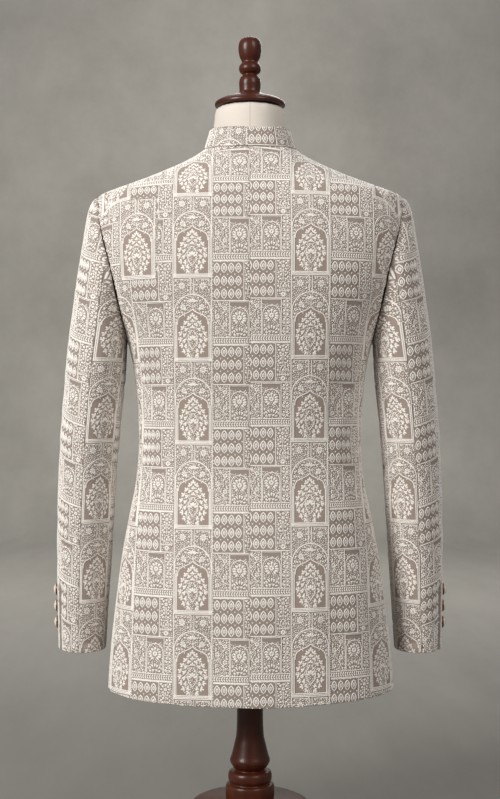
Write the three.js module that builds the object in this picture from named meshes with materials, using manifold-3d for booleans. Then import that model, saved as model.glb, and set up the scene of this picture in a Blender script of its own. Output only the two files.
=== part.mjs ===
// A prince coat buttoned on a limbless dress form with a turned wooden stand.
// Millimetres, +Z up. The wearer faces +Y and the wearer's right is +X, so the back faces -Y.
// The origin is on the floor, at the middle of the stand's base.
import * as THREE from 'three';
import { mergeVertices } from 'three/addons/utils/BufferGeometryUtils.js';
import Module from 'manifold-3d';

const wasm = await Module();
wasm.setup();

// Driving dimensions of the cloth
const CLOTH = 1.8; // embroidered cloth with its backing
const SEAM_GAP = 0.3; // between two pieces along a seam
const JOIN_GAP = 0.45; // where a sleeve or the collar meets the body
const FULLNESS = 2.4; // how square a level section of the body is, 2 being an oval
const HEM_Z = 230;
const ARMPIT_Z = 725;
const HEM_CURVE = { middle: -2.5, side: 6, fadesOutAt: 313 };
const SHOULDER = { x: 212, z: 926 };
const NECK_POINT = { x: 65, z: 991.5 };
const BACK_NECK_Z = 989.5;
const FRONT_NECK_Z = 930;
const FRONT_NECK_CURVE = 2.4;
const ARMHOLE_DEPTH = 61; // half of the armhole from front to back
const LAP = 16.75; // how far each front passes the centre
const LAP_GAP = 0.8; // between the two fronts where they lap
const LAP_BLEND = { from: 46, to: 25 }; // where the upper front lifts over the lower one
const SKIRT_WAVE = { height: 2.2, count: 5, start: 0.9, plainTo: 25, fullFrom: 80 };
const WAIST_Z = 580;

// Level sections of the body, from the hem to the neck point. Above the shoulder the half width
// is that of the shoulder seam, so the sections close along it.
const BODY = [
  { z: 220, halfWidth: 200.5, back: 119, front: 127 },
  { z: 256, halfWidth: 199, back: 119, front: 127 },
  { z: 300, halfWidth: 195.5, back: 118, front: 126 },
  { z: 356, halfWidth: 189, back: 116, front: 123 },
  { z: 413, halfWidth: 181.5, back: 112, front: 118 },
  { z: 470, halfWidth: 171.5, back: 104, front: 112 },
  { z: 526, halfWidth: 160.5, back: 96, front: 107 },
  { z: 583, halfWidth: 156.5, back: 92, front: 107 },
  { z: 640, halfWidth: 159, back: 97, front: 113 },
  { z: 685, halfWidth: 164, back: 103, front: 119 },
  { z: 725, halfWidth: 173, back: 108, front: 123 },
  { z: 740, halfWidth: 179, back: 110, front: 124 },
  { z: 760, halfWidth: 189.5, back: 112, front: 125 },
  { z: 790, halfWidth: 203.5, back: 114, front: 123 },
  { z: 826, halfWidth: 214.5, back: 115, front: 118 },
  { z: 860, halfWidth: 221.5, back: 114, front: 109 },
  { z: 890, halfWidth: 222, back: 110, front: 98 },
  { z: 910, halfWidth: 217.5, back: 104, front: 88 },
  { z: 926, halfWidth: 212, back: 98, front: 80 },
  { z: 935, halfWidth: 190.5, back: 94, front: 75 },
  { z: 951.5, halfWidth: 145, back: 84, front: 66 },
  { z: 968.5, halfWidth: 104.5, back: 74, front: 57 },
  { z: 980.5, halfWidth: 81, back: 66, front: 50 },
  { z: 991.5, halfWidth: 65, back: 58, front: 43 },
  { z: 999.5, halfWidth: 56, back: 54, front: 39 },
];

// Columns of a body panel from the centre to the side: the share of the width at the shoulder
// and neck, where the first seven follow the neckline, and the share lower down.
const COLUMNS = [
  { top: 0, low: 0 },
  { top: 0.04, low: 0.06 },
  { top: 0.079, low: 0.12 },
  { top: 0.153, low: 0.235 },
  { top: 0.217, low: 0.345 },
  { top: 0.2656, low: 0.445 },
  { top: 0.296, low: 0.535 },
  { top: NECK_POINT.x / SHOULDER.x, low: 0.615 },
  { top: 0.4, low: 0.69 },
  { top: 0.5, low: 0.755 },
  { top: 0.6, low: 0.815 },
  { top: 0.7, low: 0.865 },
  { top: 0.79, low: 0.91 },
  { top: 0.87, low: 0.945 },
  { top: 0.935, low: 0.972 },
  { top: 0.98, low: 0.992 },
  { top: 1, low: 1 },
];
const LAP_COLUMNS = [-1, -0.5];
const SKIRT_ROWS = [HEM_Z, 270, 313, 356, 413, 470, 526, 583, 640, 685];
const ARMHOLE_STEP = 15; // degrees between the points that body and sleeve share round the armhole
const CHEST_ROWS = 180 / ARMHOLE_STEP;

// Sections of a sleeve from the armhole to the cuff: the points of its outer and inner outline
// seen from behind, half its depth, and how far it hangs forward.
const SLEEVE = [
  { outerX: 212, outerZ: 926, innerX: 173, innerZ: 725, depth: 61, forward: 0 },
  { outerX: 219, outerZ: 923.5, innerX: 174.4, innerZ: 720, depth: 62, forward: 0 },
  { outerX: 225, outerZ: 915.5, innerX: 175.6, innerZ: 711, depth: 63.5, forward: 0 },
  { outerX: 229.5, outerZ: 900.5, innerX: 176.2, innerZ: 700, depth: 65, forward: 0 },
  { outerX: 233.5, outerZ: 878, innerX: 176.8, innerZ: 686, depth: 66, forward: 0 },
  { outerX: 239, outerZ: 847, innerX: 178, innerZ: 668, depth: 66, forward: 0 },
  { outerX: 246.5, outerZ: 802, innerX: 180.5, innerZ: 643, depth: 65.5, forward: 1 },
  { outerX: 254.5, outerZ: 742, innerX: 184, innerZ: 612, depth: 64, forward: 2 },
  { outerX: 261.5, outerZ: 675, innerX: 187, innerZ: 578, depth: 62, forward: 3 },
  { outerX: 267, outerZ: 610, innerX: 190, innerZ: 540, depth: 60, forward: 5 },
  { outerX: 271, outerZ: 545, innerX: 193, innerZ: 497, depth: 58, forward: 8 },
  { outerX: 273.5, outerZ: 480, innerX: 196, innerZ: 450, depth: 56, forward: 11 },
  { outerX: 274.5, outerZ: 415, innerX: 199.5, innerZ: 400, depth: 54, forward: 14 },
  { outerX: 274, outerZ: 352, innerX: 203.5, innerZ: 346, depth: 52, forward: 17 },
  { outerX: 273, outerZ: 286.5, innerX: 207.5, innerZ: 284.5, depth: 50, forward: 20 },
];
const HINDARM = 90; // degrees round from the outer edge to the seam behind the arm
const FOREARM = 120; // and to the seam in front

// The stand collar
const COLLAR = { height: 28, wall: 2.2, gap: 0.7, ends: 4, corner: 12, lowest: 0.45, rows: 3 };
const COLLAR_LEAN = { back: 0.2, side: -0.3, front: 0.05 };

// The domed buttons
const BUTTON = { radius: 9, seat: 7, rim: 2.2, height: 6.5, steps: 12, dome: 4 };
const CUFF_BUTTON_Z = [369, 345.5, 322];
const FRONT_BUTTONS = { count: 7, top: 902, spacing: 66 };

// The dress form
const FORM = { bottom: 330, underTip: 2.5, underNeck: 4.5, clear: 7, plate: 6, fullness: 2, around: 36 };
const FORM_LEVELS = [
  330, 380, 440, 500, 580, 650, 700, 735, 770, 810, 850, 882, 906, 924, 938.5, 951.5, 961.5, 971.5, 980.5,
];
const FORM_NECK = [
  { z: 894, halfWidth: 58, back: 58, front: 60 },
  { z: 925, halfWidth: 59.5, back: 57, front: 70 },
  { z: 959, halfWidth: 59.5, back: 56, front: 72 },
  { z: 993.5, halfWidth: 57, back: 54, front: 66 },
  { z: 1019.5, halfWidth: 52.4, back: 51, front: 58 },
  { z: 1055.4, halfWidth: 49.3, back: 49.3, front: 49.3 },
];

// The turned wood, as radius and height
const FINIAL = [
  { r: 49.5, z: 1055.9 }, { r: 50, z: 1058 }, { r: 49.3, z: 1061 }, { r: 42, z: 1065.5 },
  { r: 30, z: 1069.5 }, { r: 19, z: 1072.5 }, { r: 15.4, z: 1076 }, { r: 15.2, z: 1083 },
  { r: 15.6, z: 1088 }, { r: 15, z: 1093 }, { r: 13.4, z: 1097 }, { r: 10.4, z: 1100.5 },
  { r: 14, z: 1104 }, { r: 15.8, z: 1109 }, { r: 14.6, z: 1114 }, { r: 11.6, z: 1118.5 },
  { r: 14.6, z: 1126 }, { r: 16.4, z: 1136 }, { r: 16, z: 1144 }, { r: 13, z: 1150.5 }, { r: 7, z: 1154 },
];
const COLUMN = [
  { r: 34, z: 73.4 }, { r: 34.6, z: 84 }, { r: 33.5, z: 95 }, { r: 27.9, z: 97 }, { r: 30.6, z: 101 },
  { r: 30.9, z: 109 }, { r: 28.5, z: 113.8 }, { r: 20.6, z: 115.4 }, { r: 24.7, z: 120.5 },
  { r: 28.4, z: 128.5 }, { r: 26.3, z: 136 }, { r: 22.8, z: 150 }, { r: 19.6, z: 165 }, { r: 18.5, z: 200 },
  { r: 18.5, z: FORM.bottom - SEAM_GAP },
];
const BASE = [
  { r: 156, z: 0 }, { r: 160, z: 4 }, { r: 160, z: 18 }, { r: 155, z: 24 }, { r: 140, z: 27 },
  { r: 92, z: 36 }, { r: 88, z: 44 }, { r: 87.5, z: 58 }, { r: 83, z: 68 }, { r: 74, z: 73 },
];
const WOOD_STEPS = 24;

const CLOTH_COLOR = 0xcdc0b3;
const WOOD_COLOR = 0x4a2018;
const FORM_COLOR = 0xe9e1d6;
const BUTTON_COLOR = 0xe6d8c2;

const coat = new THREE.Group();

function addMesh(name, geometry, color, roughness = 0.85, metalness = 0) {
  const mesh = new THREE.Mesh(geometry, new THREE.MeshStandardMaterial({ color, roughness, metalness }));
  mesh.name = name;
  coat.add(mesh);
  return mesh;
}

// A smooth value between the rows of a table, by the row's height.
function along(table, key, z) {
  let i = 0;
  while (i < table.length - 2 && z > table[i + 1].z) i += 1;
  const slope = (k) => {
    const low = table[Math.max(k - 1, 0)];
    const high = table[Math.min(k + 1, table.length - 1)];
    return (high[key] - low[key]) / (high.z - low.z);
  };
  const step = table[i + 1].z - table[i].z;
  const t = THREE.MathUtils.clamp((z - table[i].z) / step, 0, 1);
  const rise = table[i + 1][key] - table[i][key];
  const start = slope(i) * step;
  const end = slope(i + 1) * step;
  return table[i][key] + t * (start + t * (3 * rise - 2 * start - end + t * (start + end - 2 * rise)));
}

const depthKey = (side) => (side < 0 ? 'back' : 'front');

// How far the body's surface stands from the middle plane, behind or in front.
function bodyDepth(side, x, z) {
  const share = Math.min(Math.abs(x) / along(BODY, 'halfWidth', z), 1);
  return along(BODY, depthKey(side), z) * (1 - share ** FULLNESS) ** (1 / FULLNESS);
}

// The outward direction of the body's surface.
function bodyNormal(side, x, y, z) {
  const h = 0.5;
  const width = along(BODY, 'halfWidth', z);
  const depth = along(BODY, depthKey(side), z);
  const widthSlope = (along(BODY, 'halfWidth', z + h) - along(BODY, 'halfWidth', z - h)) / (2 * h);
  const depthSlope = (along(BODY, depthKey(side), z + h) - along(BODY, depthKey(side), z - h)) / (2 * h);
  const u = Math.min(Math.abs(x) / width, 1);
  const v = (1 - u ** FULLNESS) ** (1 / FULLNESS);
  const nx = (u ** (FULLNESS - 1) / width) * Math.sign(x);
  const ny = (v ** (FULLNESS - 1) / depth) * side;
  const nz = -(u ** FULLNESS * widthSlope) / width - (v ** FULLNESS * depthSlope) / depth;
  return new THREE.Vector3(nx, ny, nz).normalize();
}

// The height of the shoulder seam or the neckline over a point x from the middle.
function topEdge(side, x) {
  const share = Math.abs(x) / NECK_POINT.x;
  if (share <= 1) {
    if (side < 0) return BACK_NECK_Z + (NECK_POINT.z - BACK_NECK_Z) * share ** 2;
    return FRONT_NECK_Z + (NECK_POINT.z - FRONT_NECK_Z) * share ** FRONT_NECK_CURVE;
  }
  let low = SHOULDER.z;
  let high = NECK_POINT.z;
  for (let i = 0; i < 30; i += 1) {
    const middle = (low + high) / 2;
    if (along(BODY, 'halfWidth', middle) > Math.abs(x)) low = middle;
    else high = middle;
  }
  return (low + high) / 2;
}

// The armhole, by the angle round it from the shoulder point.
function armhole(side, angle) {
  const middle = (SHOULDER.z + ARMPIT_Z) / 2;
  const z = middle + ((SHOULDER.z - ARMPIT_Z) / 2) * Math.cos(angle);
  const y = ARMHOLE_DEPTH * Math.abs(Math.sin(angle));
  const share = y / along(BODY, depthKey(side), z);
  const x = along(BODY, 'halfWidth', z) * (1 - share ** FULLNESS) ** (1 / FULLNESS);
  return { x, y: side * y, z };
}

// The soft waves of the skirt, as a distance along the outward direction.
function skirtWave(side, x, z) {
  const round = Math.atan2(side * bodyDepth(side, x, z), x);
  const fade = THREE.MathUtils.smoothstep(WAIST_Z - z, 0, WAIST_Z - HEM_Z);
  const plain = side < 0 ? 1 : THREE.MathUtils.smoothstep(Math.abs(x), SKIRT_WAVE.plainTo, SKIRT_WAVE.fullFrom);
  return SKIRT_WAVE.height * fade * plain * Math.cos(SKIRT_WAVE.count * round + SKIRT_WAVE.start);
}

// How much the skirt is cut longer or shorter than level, by the share of the width.
function hemCurve(share, z) {
  const fade = THREE.MathUtils.clamp((HEM_CURVE.fadesOutAt - z) / (HEM_CURVE.fadesOutAt - HEM_Z), 0, 1);
  return THREE.MathUtils.lerp(HEM_CURVE.middle, HEM_CURVE.side, share ** 2) * fade;
}

// A closed wall from a grid of { point, normal } on its outer side.
function wall(grid, thickness) {
  const rows = grid.length;
  const columns = grid[0].length;
  const points = [];
  for (const inward of [0, thickness]) {
    for (const row of grid) {
      for (const { point, normal } of row) points.push(point.clone().addScaledVector(normal, -inward));
    }
  }
  const half = rows * columns;
  const faces = [];
  const quad = (a, b, c, d) => faces.push(a, b, c, a, c, d);
  for (let i = 0; i < rows - 1; i += 1) {
    for (let j = 0; j < columns - 1; j += 1) {
      const a = i * columns + j;
      quad(a, a + 1, a + columns + 1, a + columns);
      quad(half + a, half + a + columns, half + a + columns + 1, half + a + 1);
    }
  }
  for (let j = 0; j < columns - 1; j += 1) {
    const top = (rows - 1) * columns + j;
    quad(j, half + j, half + j + 1, j + 1);
    quad(top, top + 1, half + top + 1, half + top);
  }
  for (let i = 0; i < rows - 1; i += 1) {
    const left = i * columns;
    const right = left + columns - 1;
    quad(left, left + columns, half + left + columns, half + left);
    quad(right, half + right, half + right + columns, right + columns);
  }
  return closedGeometry(points, faces);
}

// A geometry of these points and triangles, with its faces turned outwards.
function closedGeometry(points, faces) {
  let volume = 0;
  for (let i = 0; i < faces.length; i += 3) {
    const [a, b, c] = [points[faces[i]], points[faces[i + 1]], points[faces[i + 2]]];
    volume += a.dot(new THREE.Vector3().crossVectors(b, c));
  }
  const geometry = new THREE.BufferGeometry().setFromPoints(points);
  geometry.setIndex(volume > 0 ? faces : faces.slice().reverse());
  geometry.computeVertexNormals();
  return geometry;
}

// One body panel: side -1 is the back and 1 the front, hand -1 the wearer's left and 1 the right.
// laps says whether it passes the centre, and lift how far it stands over the piece under it.
function bodyPanel(side, hand, laps, lift) {
  const columns = laps ? [...LAP_COLUMNS.map((past) => ({ past })), ...COLUMNS] : COLUMNS;
  const rows = [
    ...SKIRT_ROWS.map((z) => ({ z, up: 0 })),
    ...Array.from({ length: CHEST_ROWS + 1 }, (_, i) => ({ z: ARMPIT_Z, up: i / CHEST_ROWS })),
  ];
  const grid = rows.map((row) => columns.map((column) => {
    const share = (1 - Math.cos(Math.PI * row.up)) / 2;
    const edge = row.up > 0 ? armhole(side, Math.PI * (1 - row.up)).x : along(BODY, 'halfWidth', row.z);
    const blend = row.up ** 1.5;
    let x = THREE.MathUtils.lerp(column.low, column.top, blend) * edge;
    if (column.past !== undefined) x = column.past * LAP;
    else if (!laps) x = Math.max(x, SEAM_GAP / 2);
    const rise = (topEdge(side, THREE.MathUtils.lerp(x, (x / edge) * SHOULDER.x, 1 - row.up)) - ARMPIT_Z) * share;
    const z = row.z + (row.up > 0 ? rise : hemCurve(x / edge, row.z));
    const y = side * Math.max(bodyDepth(side, x, z), SEAM_GAP / 2);
    const normal = bodyNormal(side, x * hand, y, z);
    const over = lift * (1 - THREE.MathUtils.smoothstep(x, LAP_BLEND.to, LAP_BLEND.from));
    const point = new THREE.Vector3(x * hand, y, z);
    point.addScaledVector(normal, over + skirtWave(side, x * hand, z));
    return { point, normal };
  }));
  return grid;
}

const upperFront = bodyPanel(1, -1, true, CLOTH + LAP_GAP);
addMesh('back_left', wall(bodyPanel(-1, -1, false, 0), CLOTH), CLOTH_COLOR);
addMesh('back_right', wall(bodyPanel(-1, 1, false, 0), CLOTH), CLOTH_COLOR);
addMesh('front_right', wall(bodyPanel(1, 1, true, 0), CLOTH), CLOTH_COLOR);
addMesh('front_left', wall(upperFront, CLOTH), CLOTH_COLOR);

// A point of a sleeve by its section and the angle from the outer edge, positive to the back.
function sleevePoint(hand, index, angle) {
  const section = SLEEVE[index];
  const side = Math.sin(angle) > 0 ? -1 : 1;
  if (index === 0) {
    const edge = armhole(side, Math.acos(Math.cos(angle)));
    const along = new THREE.Vector2(SHOULDER.z - ARMPIT_Z, section.innerX - section.outerX).normalize();
    return new THREE.Vector3(hand * (edge.x + along.x * JOIN_GAP), edge.y, edge.z + along.y * JOIN_GAP);
  }
  const lean = Math.cos(angle) / 2;
  const x = (section.outerX + section.innerX) / 2 + (section.outerX - section.innerX) * lean;
  const z = (section.outerZ + section.innerZ) / 2 + (section.outerZ - section.innerZ) * lean;
  return new THREE.Vector3(hand * x, section.forward - section.depth * Math.sin(angle), z);
}

function sleeveNormal(hand, index, angle) {
  const h = 0.02;
  const before = sleevePoint(hand, index, angle - h);
  const after = sleevePoint(hand, index, angle + h);
  const up = sleevePoint(hand, Math.max(index - 1, 1), angle);
  const down = sleevePoint(hand, Math.min(Math.max(index, 1) + 1, SLEEVE.length - 1), angle);
  return new THREE.Vector3().crossVectors(after.sub(before), down.sub(up)).multiplyScalar(hand).normalize();
}

// One half of a sleeve between two seams, given in degrees from the outer edge.
function sleeveHalf(hand, from, to) {
  const steps = (to - from) / ARMHOLE_STEP;
  const grid = SLEEVE.map((section, index) => {
    const girth = section.depth * Math.PI;
    const inset = (SEAM_GAP / 2 / girth) * 180;
    return Array.from({ length: steps + 1 }, (_, i) => {
      const degrees = THREE.MathUtils.lerp(from + inset, to - inset, i / steps);
      const angle = THREE.MathUtils.degToRad(degrees);
      return { point: sleevePoint(hand, index, angle), normal: sleeveNormal(hand, index, angle) };
    });
  });
  return wall(grid, CLOTH);
}

for (const [name, hand] of [['left', -1], ['right', 1]]) {
  addMesh(`sleeve_${name}_top`, sleeveHalf(hand, -FOREARM, HINDARM), CLOTH_COLOR);
  addMesh(`sleeve_${name}_under`, sleeveHalf(hand, HINDARM, 360 - FOREARM), CLOTH_COLOR);
}

// The stand collar rises from the neckline, whose own columns it shares.
function collar() {
  const shares = COLUMNS.slice(0, 8).map((column) => (column.top * SHOULDER.x) / NECK_POINT.x);
  const right = [];
  for (const share of shares) right.push({ side: -1, x: share * NECK_POINT.x });
  for (const share of shares.slice(1, -1).reverse()) right.push({ side: 1, x: share * NECK_POINT.x });
  right.push({ side: 1, x: COLLAR.ends });
  const left = right.slice(1).reverse().map(({ side, x }) => ({ side, x: -x }));
  const stations = [...left, ...right];
  const columns = stations.map(({ side, x }) => {
    const z = topEdge(side, x);
    const base = new THREE.Vector3(x, side * bodyDepth(side, x, z), z);
    const sideways = Math.abs(x) / NECK_POINT.x;
    const lean = side < 0 ? COLLAR_LEAN.back : COLLAR_LEAN.front;
    const up = new THREE.Vector3(
      Math.sign(x) * COLLAR_LEAN.side * sideways ** 1.5,
      lean * (1 - sideways ** 2),
      1,
    ).normalize();
    const fromEnd = side > 0 ? Math.abs(x) - COLLAR.ends : COLLAR.corner;
    const short = Math.max(1 - fromEnd / COLLAR.corner, 0);
    const height = COLLAR.height * Math.max(Math.sqrt(1 - short ** 2), COLLAR.lowest);
    return { base, up, height };
  });
  const grid = [];
  for (let row = 0; row <= COLLAR.rows; row += 1) {
    grid.push(columns.map(({ base, up, height }, i) => {
      const before = columns[Math.max(i - 1, 0)].base;
      const after = columns[Math.min(i + 1, columns.length - 1)].base;
      const normal = new THREE.Vector3().crossVectors(after.clone().sub(before), up).normalize();
      const point = base.clone().addScaledVector(up, COLLAR.gap + (height * row) / COLLAR.rows);
      return { point, normal };
    }));
  }
  return wall(grid, COLLAR.wall);
}

addMesh('collar', collar(), CLOTH_COLOR);

// A turned shape from a profile of { r, z }, closed on its axis and standing along +Z.
function turned(profile, steps) {
  const points = [
    new THREE.Vector2(0, profile[0].z),
    ...profile.map(({ r, z }) => new THREE.Vector2(r, z)),
    new THREE.Vector2(0, profile[profile.length - 1].z),
  ];
  const geometry = new THREE.LatheGeometry(points, steps);
  geometry.rotateX(Math.PI / 2);
  geometry.deleteAttribute('normal');
  geometry.deleteAttribute('uv');
  return mergeVertices(geometry, 1e-3);
}

function button() {
  const profile = [{ r: BUTTON.seat, z: 0 }];
  for (let i = 0; i < BUTTON.dome; i += 1) {
    const angle = (i / BUTTON.dome) * (Math.PI / 2);
    profile.push({
      r: BUTTON.radius * Math.cos(angle),
      z: BUTTON.rim + (BUTTON.height - BUTTON.rim) * Math.sin(angle),
    });
  }
  return turned(profile, BUTTON.steps);
}

function addButton(name, seat, direction) {
  const mesh = addMesh(name, button(), BUTTON_COLOR, 0.35);
  mesh.quaternion.setFromUnitVectors(new THREE.Vector3(0, 0, 1), direction);
  mesh.position.copy(seat).addScaledVector(direction, SEAM_GAP);
}

// Three buttons stand on the outer edge of each cuff.
for (const [name, hand] of [['left', -1], ['right', 1]]) {
  CUFF_BUTTON_Z.forEach((z, i) => {
    const index = SLEEVE.findIndex((section) => section.outerZ < z);
    const [above, below] = [SLEEVE[index - 1], SLEEVE[index]];
    const t = (above.outerZ - z) / (above.outerZ - below.outerZ);
    const x = THREE.MathUtils.lerp(above.outerX, below.outerX, t);
    const y = THREE.MathUtils.lerp(above.forward, below.forward, t);
    addButton(`cuff_button_${name}_${i + 1}`, new THREE.Vector3(hand * x, y, z), new THREE.Vector3(hand, 0, 0));
  });
}

// The front closes with one row of buttons, each seated on the upper front's centre line.
const centreLine = upperFront.map((row) => row[LAP_COLUMNS.length].point);
for (let i = 0; i < FRONT_BUTTONS.count; i += 1) {
  const z = FRONT_BUTTONS.top - i * FRONT_BUTTONS.spacing;
  const k = centreLine.findIndex((point) => point.z > z);
  const [low, high] = [centreLine[k - 1], centreLine[k]];
  const seat = low.clone().lerp(high, (z - low.z) / (high.z - low.z));
  const normal = new THREE.Vector3(0, high.z - low.z, low.y - high.y).normalize();
  addButton(`front_button_${i + 1}`, seat, normal);
}

// The form fills the coat with room to spare, and touches it only along the shoulders.
function formSection(z) {
  const nearNeck = THREE.MathUtils.smoothstep(z, SHOULDER.z, BACK_NECK_Z);
  const level = z + THREE.MathUtils.lerp(FORM.underTip, FORM.underNeck, nearNeck);
  const width = along(BODY, 'halfWidth', level);
  const settle = THREE.MathUtils.smoothstep(SHOULDER.z + 4 - z, 0, 60);
  const armplate = z > ARMPIT_Z - 25 && z < SHOULDER.z + 4;
  const halfWidth = width - FORM.clear * settle;
  const points = [];
  for (let i = 0; i < FORM.around; i += 1) {
    const angle = (i / FORM.around) * Math.PI * 2;
    const side = Math.sin(angle) < 0 ? -1 : 1;
    const depth = along(BODY, depthKey(side), level) - FORM.clear;
    let x = halfWidth * Math.sign(Math.cos(angle)) * Math.abs(Math.cos(angle)) ** (2 / FORM.fullness);
    const y = side * depth * Math.abs(Math.sin(angle)) ** (2 / FORM.fullness);
    if (armplate) {
      const slant = SLEEVE[0].innerX + ((z - ARMPIT_Z) * (SHOULDER.x - SLEEVE[0].innerX)) / (SHOULDER.z - ARMPIT_Z);
      x = THREE.MathUtils.clamp(x, FORM.plate - slant, slant - FORM.plate);
    }
    points.push(new THREE.Vector3(x, y, z));
  }
  return points;
}

// A closed solid through level rings of points.
function loft(rings) {
  const count = rings[0].length;
  const points = rings.flat();
  const faces = [];
  for (let i = 0; i < rings.length - 1; i += 1) {
    for (let j = 0; j < count; j += 1) {
      const a = i * count + j;
      const b = i * count + ((j + 1) % count);
      faces.push(a, b, b + count, a, b + count, a + count);
    }
  }
  for (const [ring, start] of [[rings[0], 0], [rings[rings.length - 1], points.length - count]]) {
    const middle = points.length;
    points.push(ring.reduce((sum, point) => sum.add(point), new THREE.Vector3()).divideScalar(count));
    for (let j = 0; j < count; j += 1) {
      const next = start + ((j + 1) % count);
      faces.push(...(start === 0 ? [middle, next, start + j] : [middle, start + j, next]));
    }
  }
  return closedGeometry(points, faces);
}

function solid(geometry) {
  const bare = geometry.clone();
  bare.deleteAttribute('normal');
  const merged = mergeVertices(bare, 1e-3);
  return new wasm.Manifold(new wasm.Mesh({
    numProp: 3,
    vertProperties: merged.attributes.position.array,
    triVerts: new Uint32Array(merged.index.array),
  }));
}

function dressForm() {
  const torso = loft(FORM_LEVELS.map(formSection));
  const neck = loft(FORM_NECK.map(({ z, halfWidth, back, front }) => Array.from({ length: FORM.around }, (_, i) => {
    const angle = (i / FORM.around) * Math.PI * 2;
    const depth = Math.sin(angle) < 0 ? back : front;
    return new THREE.Vector3(halfWidth * Math.cos(angle), depth * Math.sin(angle), z);
  })));
  const mesh = solid(torso).add(solid(neck)).getMesh();
  const geometry = new THREE.BufferGeometry();
  geometry.setAttribute('position', new THREE.BufferAttribute(mesh.vertProperties, 3));
  geometry.setIndex(new THREE.BufferAttribute(mesh.triVerts, 1));
  geometry.computeVertexNormals();
  return geometry;
}

addMesh('dress_form', dressForm(), FORM_COLOR, 0.9);
addMesh('neck_cap', turned(FINIAL, WOOD_STEPS), WOOD_COLOR, 0.3);
addMesh('stand_column', turned(COLUMN, WOOD_STEPS), WOOD_COLOR, 0.3);
addMesh('stand_base', turned(BASE, WOOD_STEPS), WOOD_COLOR, 0.3);

export default coat;
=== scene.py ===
import math
import random

import bmesh
import bpy
import numpy as np
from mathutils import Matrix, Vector
from mathutils.bvhtree import BVHTree


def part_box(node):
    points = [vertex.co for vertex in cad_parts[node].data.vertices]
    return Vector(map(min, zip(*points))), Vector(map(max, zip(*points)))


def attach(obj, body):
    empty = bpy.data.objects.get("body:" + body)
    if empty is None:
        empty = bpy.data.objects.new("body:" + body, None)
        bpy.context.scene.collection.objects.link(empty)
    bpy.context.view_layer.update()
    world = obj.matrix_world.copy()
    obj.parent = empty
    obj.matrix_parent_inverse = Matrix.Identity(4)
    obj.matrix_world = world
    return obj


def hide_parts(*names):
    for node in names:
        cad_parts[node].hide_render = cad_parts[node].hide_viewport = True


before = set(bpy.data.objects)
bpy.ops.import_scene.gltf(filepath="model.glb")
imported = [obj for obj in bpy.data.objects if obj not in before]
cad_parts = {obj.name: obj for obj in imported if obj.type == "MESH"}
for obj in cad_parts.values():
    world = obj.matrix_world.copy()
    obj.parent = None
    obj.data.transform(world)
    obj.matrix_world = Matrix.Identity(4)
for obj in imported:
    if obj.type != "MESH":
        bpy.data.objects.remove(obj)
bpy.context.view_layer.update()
scene = bpy.context.scene

# Body of the coat
# Two back and two front panels of lined silk, cut to the waist and let out over the hips.
# They are sewn to each other at the centre back, the sides and the shoulders, where the cloth
# dips at each seam, and the fronts lap at the middle.

CLOTH = 1.8  # the body's tables and sums are in millimetres
FULLNESS = 2.4
HEM_Z = 230
ARMPIT_Z = 725
WAIST_Z = 580
HEM_FADES_OUT = 313
SHOULDER_X = 212
SHOULDER_Z = 926
NECK_X = 65
NECK_Z = 991.5  # at the side of the neck
BACK_NECK_Z = 989.5
FRONT_NECK_Z = 930
ARMHOLE_DEPTH = 61
ARMHOLE_RUN = 333
LEANS_FROM = 760  # the height from which the chest and shoulder lean in
CHEST_Z = 640.0
CHEST_HALF_WIDTH = 159
HEM_DROP = (-2.5, 6)  # at the centre and at the sides
HEM_WAVE = 2.2
SEAM_GAP = 0.3
LAP = 16.75
LAP_GAP = 0.8

# height, half width, depth behind, depth in front
BODY = np.array([
    (220, 200.5, 119, 127), (256, 199, 119, 127), (300, 195.5, 118, 126), (356, 189, 116, 123),
    (413, 181.5, 112, 118), (470, 171.5, 104, 112), (526, 160.5, 96, 107), (583, 156.5, 92, 107),
    (640, 159, 97, 113), (685, 164, 103, 119), (725, 173, 108, 123), (740, 179, 110, 124),
    (760, 189.5, 112, 125), (790, 203.5, 114, 123), (826, 214.5, 115, 118), (860, 221.5, 114, 109),
    (890, 222, 110, 98), (910, 217.5, 104, 88), (926, 212, 98, 80), (935, 190.5, 94, 75),
    (951.5, 145, 84, 66), (968.5, 104.5, 74, 57), (980.5, 81, 66, 50), (991.5, 65, 58, 43),
    (999.5, 56, 54, 39),
])
# share of the width low down, share of it at the shoulder and neck
COLUMN_SHARES = np.array([
    (0, 0), (0.06, 0.04), (0.12, 0.079), (0.235, 0.153), (0.345, 0.217), (0.445, 0.2656),
    (0.535, 0.296), (0.615, 0.3066), (0.69, 0.4), (0.755, 0.5), (0.815, 0.6), (0.865, 0.7),
    (0.91, 0.79), (0.945, 0.87), (0.972, 0.935), (0.992, 0.98), (1, 1),
])


def along(table, column, at):
    """A smooth value between the rows of a table, by its first column."""
    keys, values = table[:, 0], table[:, column]
    last = len(keys) - 1
    i = np.clip(np.searchsorted(keys, at) - 1, 0, last - 1)

    def slope(k):
        low, high = np.maximum(k - 1, 0), np.minimum(k + 1, last)
        return (values[high] - values[low]) / (keys[high] - keys[low])

    step = keys[i + 1] - keys[i]
    t = np.clip((at - keys[i]) / step, 0, 1)
    rise = values[i + 1] - values[i]
    start, end = slope(i) * step, slope(i + 1) * step
    return values[i] + t * (start + t * (3 * rise - 2 * start - end + t * (start + end - 2 * rise)))


def lerp(a, b, t):
    return a + (b - a) * t


def smoothstep(at, low, high):
    t = np.clip((at - low) / (high - low), 0, 1)
    return t * t * (3 - 2 * t)


def full_depth(side, z):
    """How deep the body is at its middle: side -1 is the back and 1 the front."""
    return along(BODY, 2 if side < 0 else 3, z)


def bulge(share):
    """What is left of the depth at a share of the width, and the other way round."""
    return (1 - share**FULLNESS) ** (1 / FULLNESS)


def body_depth(side, x, z):
    """How far the body stands from the middle plane over x."""
    share = np.clip(np.abs(x) / along(BODY, 1, z), 0, 1)
    return full_depth(side, z) * bulge(share)


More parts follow.
